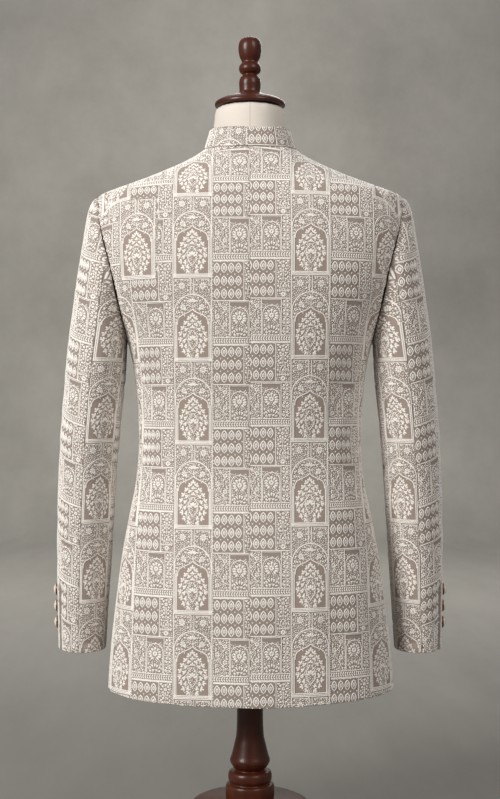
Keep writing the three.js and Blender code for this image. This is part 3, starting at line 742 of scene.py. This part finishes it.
# One petal is a fan with a raised middle, a seed is a smaller one.
shapes = {}
for label, steps in (("petal", 8), ("seed", 6)):
    bm = bmesh.new()
    bmesh.ops.create_circle(bm, cap_ends=True, cap_tris=True, segments=steps, radius=0.5)
    bm.verts.index_update()
    corners = np.array([vert.co[:] for vert in bm.verts])
    fans = np.array([[vert.index for vert in face.verts] for face in bm.faces])
    first = corners[fans[:, 0]]
    facing = np.cross(corners[fans[:, 1]] - first, corners[fans[:, 2]] - first)[:, 2]
    fans[facing < 0] = fans[facing < 0][:, ::-1]
    bm.free()
    raised = np.where(np.linalg.norm(corners, axis=1) < 0.1, 1.0, 0.0)
    if label == "petal":
        corners[:, 1] *= 1 + 0.5 * corners[:, 0]
    shapes[label] = (corners, fans, raised)

work_points, work_faces, work_stitch = [], [], []
count = 0
covered = np.zeros((int(PATTERN_HEIGHT * 2), PATTERN_WIDTH * 2), bool)
cell_v, cell_u = np.mgrid[0 : covered.shape[0], 0 : covered.shape[1]] / 2 + 0.25


def cover(u, v, radius):
    """Marks a spot of the repeat as worked, over its edges too."""
    reach = int(radius * 2) + 1
    for i in range(int(v * 2) - reach, int(v * 2) + reach + 1):
        for j in range(int(u * 2) - reach, int(u * 2) + reach + 1):
            if math.hypot(i / 2 + 0.25 - v, j / 2 + 0.25 - u) < radius:
                covered[i % covered.shape[0], j % covered.shape[1]] = True


def stamp(label, u, v, long, wide, turn, height):
    global count
    corners, fans, raised = shapes[label]
    spin = math.radians(turn)
    along_it, across_it = corners[:, 0] * long, corners[:, 1] * wide
    work_points.append(np.stack([
        u + along_it * math.cos(spin) - across_it * math.sin(spin),
        v + along_it * math.sin(spin) + across_it * math.cos(spin),
        np.where(raised > 0, height, SUNK),
    ], axis=1))
    work_stitch.append(np.stack([along_it, across_it], axis=1))
    work_faces.append(fans + count)
    count += len(corners)


for u, v, long, wide, turn in petals:
    long, wide = long * 1.15, wide * 1.32
    stamp("petal", u, v, long, wide, turn, PETAL_HEIGHT)
    for k in (-1, 0, 1):
        spin = math.radians(turn)
        cover(u + k * long * 0.3 * math.cos(spin), v + k * long * 0.3 * math.sin(spin), wide / 2 + 0.45)
for path, wide, closed in cords:
    path, wide = np.array(path, float), wide * 1.3
    if closed:
        ahead, back = np.roll(path, -1, axis=0), np.roll(path, 1, axis=0)
    else:
        ahead, back = np.vstack([path[1:], path[-1:]]), np.vstack([path[:1], path[:-1]])
    way = (ahead - back) / np.linalg.norm(ahead - back, axis=1, keepdims=True)
    beside = np.stack([-way[:, 1], way[:, 0]], axis=1) * wide / 2
    number = len(path)
    heights = np.repeat([[SUNK], [CORD_HEIGHT], [SUNK]], number, axis=1)
    rows = np.stack([path + beside, path, path - beside])
    work_points.append(np.concatenate([rows, heights[..., None]], axis=2).reshape(-1, 3))
    reach = np.concatenate([[0], np.cumsum(np.linalg.norm(np.diff(path, axis=0), axis=1))])
    run = np.broadcast_to(reach, (3, number))
    over = np.repeat([[wide / 2], [0], [-wide / 2]], number, axis=1)
    work_stitch.append(np.stack([run, over], axis=2).reshape(-1, 2))
    for k in range(number if closed else number - 1):
        after = (k + 1) % number
        for row in (0, 1):
            a, b = count + row * number + k, count + row * number + after
            work_faces.append(np.array([(a, a + number, b + number), (a, b + number, b)]))
    count += 3 * number
    for k in range(number if closed else number - 1):
        start, end = path[k], path[(k + 1) % number]
        for t in np.arange(0, 1, 0.6 / max(np.linalg.norm(end - start), 0.6)):
            cover(*(start + (end - start) * t), wide / 2 + 0.35)

# Seed stitches fill what is left between the shapes.
for u0, v0, u1, v1 in plain:
    beside_plant = np.abs(cell_u - MIDDLE) > np.interp(cell_v, *PLANT.T)
    covered |= beside_plant & (cell_u > u0) & (cell_u < u1) & (cell_v > v0) & (cell_v < v1)
random.seed(11)
for row in range(int(PATTERN_HEIGHT / 1.5)):
    for column in range(int(PATTERN_WIDTH / 1.6)):
        u = column * 1.6 + (0.8 if row % 2 else 0) + random.uniform(-0.4, 0.4)
        v = row * 1.5 + random.uniform(-0.4, 0.4)
        if covered[int(v * 2) % covered.shape[0], int(u * 2) % covered.shape[1]]:
            continue
        long, wide, turn = random.uniform(2.3, 3.2), random.uniform(1.5, 1.9), random.uniform(0, 180)
        stamp("seed", u, v, long, wide, turn, CORD_HEIGHT)
        cover(u, v, 1.95)

work_points = np.concatenate(work_points)
work_faces = np.concatenate(work_faces)
work_stitch = np.concatenate(work_stitch)

# The thread is matt silk, its stitches laid across each petal.
thread, tree, shader = new_material("cream_silk_thread", Roughness=0.55, Sheen_Weight=0.2)
place = node(tree, "UVMap", uv_map="stitch").outputs[0]
lay = node(tree, "TexWave", Vector=place, Scale=900.0, Distortion=0.4, bands_direction="X")
place = node(tree, "TexCoord").outputs["Object"]
uneven = node(tree, "TexNoise", Vector=place, Scale=260.0, Detail=2.0)
cream = mixed(tree, uneven.outputs[0], (0.79, 0.74, 0.68, 1), (0.95, 0.91, 0.86, 1))
bump = node(tree, "Bump", Height=lay.outputs["Fac"], Strength=0.35, Distance=0.0002)
set_up(shader, Base_Color=cream, Normal=bump.outputs[0])

# On the left of the back, one niche beside the armhole lies nearer the centre than the others.
CELL_MOVE = 38


def in_moved_cell(u, v):
    return (u < -20.5) & (v > 5 * PATTERN_HEIGHT) & (v < 6 * PATTERN_HEIGHT)


flat_cloth = shells["coat_back_left"]["object"].data
layer = flat_cloth.uv_layers["cloth"].data
for face in flat_cloth.polygons:
    middle = np.mean([layer[i].uv for i in face.loop_indices], axis=0) * 1000
    if in_moved_cell(*middle):
        for i in face.loop_indices:
            layer[i].uv[0] -= CELL_MOVE * 0.001

embroidery = {}
for name, shell in shells.items():
    u, v = shell["u"], shell["v"]
    rows, columns = u.shape
    flat = np.stack([u.ravel(), v.ravel(), np.zeros(u.size)], axis=1)
    first = (np.arange(rows - 1)[:, None] * columns + np.arange(columns - 1)).ravel()
    triangles = np.concatenate([
        np.stack([first, first + 1, first + columns + 1], axis=1),
        np.stack([first, first + columns + 1, first + columns], axis=1),
    ])
    cloth_map = BVHTree.FromPolygons(flat.tolist(), triangles.tolist(), all_triangles=True)
    repeats = [
        (i * PATTERN_WIDTH, j * PATTERN_HEIGHT)
        for i in range(math.floor(u.min() / PATTERN_WIDTH) - 1, math.floor(u.max() / PATTERN_WIDTH) + 1)
        for j in range(math.floor(v.min() / PATTERN_HEIGHT) - 1, math.floor(v.max() / PATTERN_HEIGHT) + 1)
    ]
    points = np.concatenate([work_points + (du, dv, 0) for du, dv in repeats])
    faces = np.concatenate([work_faces + i * len(work_points) for i in range(len(repeats))])
    stitch = np.tile(work_stitch, (len(repeats), 1))
    if name == "coat_back_left":
        middle = points[faces].mean(axis=1)
        keep = ~in_moved_cell(middle[:, 0], middle[:, 1])
        brought = in_moved_cell(middle[:, 0] + CELL_MOVE, middle[:, 1])
        faces = np.concatenate([faces[keep], faces[brought] + len(points)])
        points = np.concatenate([points, points + (CELL_MOVE, 0, 0)])
        stitch = np.concatenate([stitch, stitch])
    close = (points[:, 0] > u.min() - 4) & (points[:, 0] < u.max() + 4)
    close &= (points[:, 1] > v.min() - 4) & (points[:, 1] < v.max() + 4)
    faces = faces[close[faces].all(axis=1)]
    used, faces = np.unique(faces, return_inverse=True)
    faces = faces.reshape(-1, 3)
    points, stitch = points[used], stitch[used]
    found = [cloth_map.find_nearest((a, b, 0.0)) for a, b in points[:, :2].tolist()]
    where = triangles[np.array([hit[2] for hit in found])]
    spot = np.array([hit[0][:2] for hit in found])
    off = np.linalg.norm(spot - points[:, :2], axis=1) > 0.02
    if "slit" in shell:
        off |= shell["slit"].ravel()[where].any(axis=1)
    corner = flat[where][:, :, :2]
    e1, e2, e3 = corner[:, 1] - corner[:, 0], corner[:, 2] - corner[:, 0], spot - corner[:, 0]
    area = e1[:, 0] * e2[:, 1] - e1[:, 1] * e2[:, 0]
    area = np.where(np.abs(area) < 1e-9, 1e-9, area)
    b1 = (e3[:, 0] * e2[:, 1] - e3[:, 1] * e2[:, 0]) / area
    b2 = (e1[:, 0] * e3[:, 1] - e1[:, 1] * e3[:, 0]) / area
    shares = np.clip(np.stack([1 - b1 - b2, b1, b2], axis=1), 0, 1)
    shares = (shares / shares.sum(axis=1, keepdims=True))[..., None]
    on_cloth = (shell["points"].reshape(-1, 3)[where] * shares).sum(axis=1)
    outward = (shell["normals"].reshape(-1, 3)[where] * shares).sum(axis=1)
    outward /= np.maximum(np.linalg.norm(outward, axis=1, keepdims=True), 1e-9)
    height = np.where(off, -0.1, points[:, 2])
    placed = (on_cloth + outward * height[:, None]) * 0.001
    faces = faces[~off[faces].all(axis=1)]
    used, faces = np.unique(faces, return_inverse=True)
    faces = faces.reshape(-1, 3)
    mesh = bpy.data.meshes.new(name + "_embroidery")
    mesh.from_pydata(placed[used].tolist(), [], faces.tolist())
    layer = mesh.uv_layers.new(name="stitch")
    layer.data.foreach_set("uv", (stitch[used] * 0.001)[faces.ravel()].ravel())
    mesh.shade_smooth()
    mesh.materials.append(thread)
    worked = bpy.data.objects.new(name + "_embroidery", mesh)
    scene.collection.objects.link(worked)
    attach(worked, "root")
    embroidery[name] = worked

# Buttons
# Ivory domes in a gilt rim, three sewn on each cuff and seven down the front.

IVORY = (0.78, 0.70, 0.58, 1)
GILT = (0.26, 0.135, 0.075, 1)
dome = new_material("ivory_button_dome", Roughness=0.28, Base_Color=IVORY, Coat_Weight=0.4)[0]
gilt = new_material("gilt_button_rim", Roughness=0.32, Base_Color=GILT, Metallic=1)[0]
BUTTON_HEIGHT = 0.0065
# radius and height up the gilt rim, and then up the dome
BUTTON_PROFILE = [(5.6, -0.6), (8.2, 0), (8.9, 1.2), (9.0, 2.2), (8.3, 2.9), (7.5, 2.6)]
DOME_PROFILE = [(7.5, 2.6), (7.2, 3.6), (6.2, 4.9), (4.6, 5.8), (2.4, 6.35), (0, 6.5)]


def turned(bm, profile, steps, material):
    """Spins a profile of radius and height round the Z axis."""
    verts = [bm.verts.new((r * 0.001, 0, z * 0.001)) for r, z in profile]
    edges = [bm.edges.new(pair) for pair in zip(verts, verts[1:])]
    before = set(bm.faces)
    bmesh.ops.spin(
        bm, geom=verts + edges, axis=(0, 0, 1), cent=(0, 0, 0), angle=math.tau, steps=steps, use_merge=True,
    )
    for face in set(bm.faces) - before:
        face.material_index = material


def finished(name, bm, materials, replaced):
    """An object of a bmesh, merged, facing outwards and smooth."""
    bmesh.ops.remove_doubles(bm, verts=bm.verts, dist=1e-5)
    bmesh.ops.recalc_face_normals(bm, faces=bm.faces)
    mesh = bpy.data.meshes.new(name)
    bm.to_mesh(mesh)
    bm.free()
    mesh.shade_smooth()
    for material in materials:
        mesh.materials.append(material)
    made = bpy.data.objects.new(name, mesh)
    scene.collection.objects.link(made)
    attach(made, "root")
    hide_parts(*replaced)
    return made


buttons = {}
for cad_node in sorted(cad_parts):
    if "button" not in cad_node:
        continue
    low, high = (Vector(corner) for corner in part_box(cad_node))
    middle = (low + high) / 2
    if cad_node.startswith("cuff"):
        outward = Vector((math.copysign(1, middle.x), 0, 0))
    else:
        tall = high.z - low.z
        thick = high.y - low.y
        lean = math.asin(min(max((thick - BUTTON_HEIGHT) / tall, 0), 0.5))
        above = middle.z > 0.82
        outward = Vector((0, math.cos(lean), math.sin(lean) if above else -math.sin(lean)))
    bm = bmesh.new()
    turned(bm, BUTTON_PROFILE, 28, 1)
    turned(bm, DOME_PROFILE, 28, 0)
    aim = Vector((0, 0, 1)).rotation_difference(outward).to_matrix().to_4x4()
    bmesh.ops.transform(bm, matrix=aim, verts=bm.verts)
    bmesh.ops.translate(bm, vec=middle - outward * (BUTTON_HEIGHT / 2), verts=bm.verts)
    buttons[cad_node] = finished("sewn_" + cad_node, bm, [dome, gilt], [cad_node])

# Dress form
# A padded limbless body covered in cream linen, sewn at the centre front and back.

linen, tree, shader = new_material("cream_linen", Roughness=0.85)
place = node(tree, "TexCoord").outputs["Object"]
threads = node(tree, "TexNoise", Vector=place, Scale=900.0, Detail=3.0)
pale = mixed(tree, threads.outputs[0], (0.64, 0.575, 0.505, 1), (0.72, 0.66, 0.585, 1))
parts = node(tree, "SeparateXYZ", Vector=place)
beside = maths(tree, "ABSOLUTE", parts.outputs[0], 0)
seam = maths(tree, "LESS_THAN", beside, 0.0007)
stitched = mixed(tree, maths(tree, "MULTIPLY", seam, 0.6), pale, (0.46, 0.40, 0.34, 1))
bump = node(tree, "Bump", Height=threads.outputs[0], Strength=0.2, Distance=0.0003)
set_up(shader, Base_Color=stitched, Normal=bump.outputs[0])

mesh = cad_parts["dress_form"].data.copy()
mesh.name = "linen_form"
bm = bmesh.new()
bm.from_mesh(mesh)
bmesh.ops.remove_doubles(bm, verts=bm.verts, dist=1e-5)
bm.to_mesh(mesh)
bm.free()
mesh.materials.clear()
mesh.materials.append(linen)
form = bpy.data.objects.new("linen_form", mesh)
scene.collection.objects.link(form)
even = form.modifiers.new("even", "REMESH")
even.mode = "VOXEL"
even.voxel_size = 0.006
even.use_smooth_shade = True
soften = form.modifiers.new("soften", "SMOOTH")
soften.factor = 0.5
soften.iterations = 8
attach(form, "root")
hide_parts("dress_form")

# Turned wood
# The finial, the column and the base are turned on a lathe, stained dark red and varnished.

wood, tree, shader = new_material(
    "stained_wood", Roughness=0.36, Coat_Weight=0.14, Specular_IOR_Level=0.28, Coat_Roughness=0.12,
)
place = node(tree, "TexCoord").outputs["Object"]
stretch = node(tree, "Mapping", Vector=place, Scale=(1, 1, 0.12)).outputs[0]
grain = node(tree, "TexNoise", Vector=stretch, Scale=60.0, Detail=6.0, Distortion=0.6)
stain = mixed(tree, grain.outputs[0], (0.022, 0.004, 0.0015, 1), (0.098, 0.021, 0.007, 1))
set_up(shader, Base_Color=stain)

FINIAL = np.array([
    (49.5, 1055.9), (50, 1058), (49.3, 1061), (42, 1065.5), (30, 1069.5), (19, 1072.5), (15.4, 1076),
    (15.2, 1083), (15.6, 1088), (15, 1093), (13.4, 1097), (10.4, 1100.5), (14, 1104), (15.8, 1109),
    (14.6, 1114), (11.6, 1118.5), (14.6, 1126), (16.4, 1136), (16, 1144), (13, 1150.5), (7, 1154),
])
COLUMN = np.array([
    (34, 73.4), (34.6, 84), (33.5, 95), (27.9, 97), (30.6, 101), (30.9, 109), (28.5, 113.8),
    (20.6, 115.4), (24.7, 120.5), (28.4, 128.5), (26.3, 136), (22.8, 150), (19.6, 165), (18.5, 200),
    (18.5, 329.7),
])
BASE = np.array([
    (156, 0), (160, 4), (160, 18), (155, 24), (140, 27), (92, 36), (88, 44), (87.5, 58),
    (83, 68), (74, 73),
])
for name, profile, cad_node in (
    ("turned_finial", FINIAL, "neck_cap"),
    ("turned_column", COLUMN, "stand_column"),
    ("turned_base", BASE, "stand_base"),
):
    step = np.concatenate([[0], np.cumsum(np.linalg.norm(np.diff(profile, axis=0), axis=1))])
    fine = np.linspace(0, step[-1], max(int(step[-1] / 1.8), 40))
    keyed = np.column_stack([step, profile])
    radius, height = along(keyed, 1, fine), along(keyed, 2, fine)
    outline = [(0, height[0])] + list(zip(radius.tolist(), height.tolist())) + [(0, height[-1])]
    bm = bmesh.new()
    turned(bm, outline, 64, 0)
    finished(name, bm, [wood], [cad_node])

# The cloth as it was cut, in metres: each panel's greatest width and length.
CUTS = {
    "coat_back_left": (0.245, 0.80), "coat_back_right": (0.245, 0.80),
    "coat_front_left": (0.26, 0.80), "coat_front_right": (0.26, 0.80),
    "coat_sleeve_left_top": (0.205, 0.63), "coat_sleeve_right_top": (0.205, 0.63),
    "coat_sleeve_left_under": (0.16, 0.46), "coat_sleeve_right_under": (0.16, 0.46),
    "coat_collar": (0.39, 0.030),
}
for name, flat in CUTS.items():
    piece = shells[name]["object"]
    sewn = [embroidery[name]]
    if name == "coat_front_left":
        sewn += [buttons[key] for key in sorted(buttons) if key.startswith("front")]
    if name.endswith("top"):
        hand = name.split("_")[2]
        sewn += [buttons[key] for key in sorted(buttons) if key.startswith("cuff_button_" + hand)]

# Studio
# A mottled grey floor that curves up into a wall, with painted shade darkening it away from the middle, lit
# by a broad soft light from the left.

wall_paint, tree, shader = new_material("studio_grey", Roughness=0.9)
place = node(tree, "TexCoord").outputs["Object"]
drawn_out = node(tree, "Mapping", Vector=place, Scale=(1, 0.25, 1)).outputs[0]
mottle = node(tree, "TexNoise", Vector=drawn_out, Scale=1.3, Detail=8.0, Roughness=0.68)
grey = mixed(tree, mottle.outputs[0], (0.150, 0.142, 0.124, 1), (0.427, 0.409, 0.371, 1))
# Painted shade: the grey is scaled darker with distance from a spot behind the form, standing in for light
# falling off towards the edges and corners.
centred = node(tree, "Mapping", Vector=place, Location=(0.1, -1.44, -0.36), Scale=(0.50, 0.32, 0.49))
away = node(tree, "VectorMath", operation="LENGTH", Vector=centred.outputs[0]).outputs["Value"]
painted_falloff = node(tree, "MapRange", Value=away, From_Min=0.2, From_Max=1.15, To_Min=1.0, To_Max=0.62)
shade = node(tree, "VectorMath", operation="SCALE", Vector=grey, Scale=painted_falloff.outputs[0])
set_up(shader, Base_Color=shade.outputs[0])

bm = bmesh.new()
bmesh.ops.create_grid(bm, x_segments=1, y_segments=40, size=1)
profile = [(-6.0, 0.0), (4.2, 0.0)]
profile += [(4.2 + 1.2 * math.sin(a), 1.2 - 1.2 * math.cos(a)) for a in np.linspace(0, math.pi / 2, 38)[1:]]
profile += [(5.4, 3.4), (5.4, 6.5)]
for i, vert in enumerate(bm.verts):
    y, z = profile[min(i // 2, len(profile) - 1)]
    vert.co = (7 if i % 2 else -7, y, z)
bmesh.ops.recalc_face_normals(bm, faces=bm.faces)
mesh = bpy.data.meshes.new("studio")
bm.to_mesh(mesh)
bm.free()
mesh.shade_smooth()
mesh.materials.append(wall_paint)
studio = bpy.data.objects.new("studio", mesh)
scene.collection.objects.link(studio)


def area_light(name, place, aim, size, power, colour):
    light = bpy.data.lights.new(name, "AREA")
    light.shape = "RECTANGLE"
    light.size, light.size_y = size
    light.energy = power
    light.color = colour
    lamp = bpy.data.objects.new(name, light)
    lamp.location = place
    lamp.visible_camera = False
    lamp.rotation_euler = (Vector(aim) - Vector(place)).to_track_quat("-Z", "Y").to_euler()
    scene.collection.objects.link(lamp)


area_light("window_left", (-2.5, -2.1, 2.1), (0, 0, 0.7), (1.3, 1.7), 130, (1, 0.985, 0.96))
area_light("fill_right", (1.7, -2.2, 2.5), (0.15, 0, 0.8), (1.2, 1.6), 36, (1, 0.97, 0.94))
area_light("front_fill", (0.6, 2.9, 2.3), (0, 0, 0.7), (1.6, 1.2), 22, (1, 0.98, 0.96))
area_light("wall_wash", (-0.4, 2.0, 4.2), (0, 5.4, 1.5), (3.0, 1.2), 198, (1, 0.99, 0.97))
world = bpy.data.worlds.new("studio_air")
world.use_nodes = True
set_up(world.node_tree.nodes["Background"], Color=(0.86, 0.87, 0.88, 1), Strength=0.29)
scene.world = world
scene.view_settings.view_transform = "Standard"

camera = bpy.data.cameras.new("camera")
camera.lens = 63.46
camera.dof.use_dof = False
eye = bpy.data.objects.new("camera", camera)
eye.location = (0, -2.0, 0.64)
eye.rotation_euler = (math.radians(90), 0, 0)
scene.collection.objects.link(eye)
scene.camera = eye
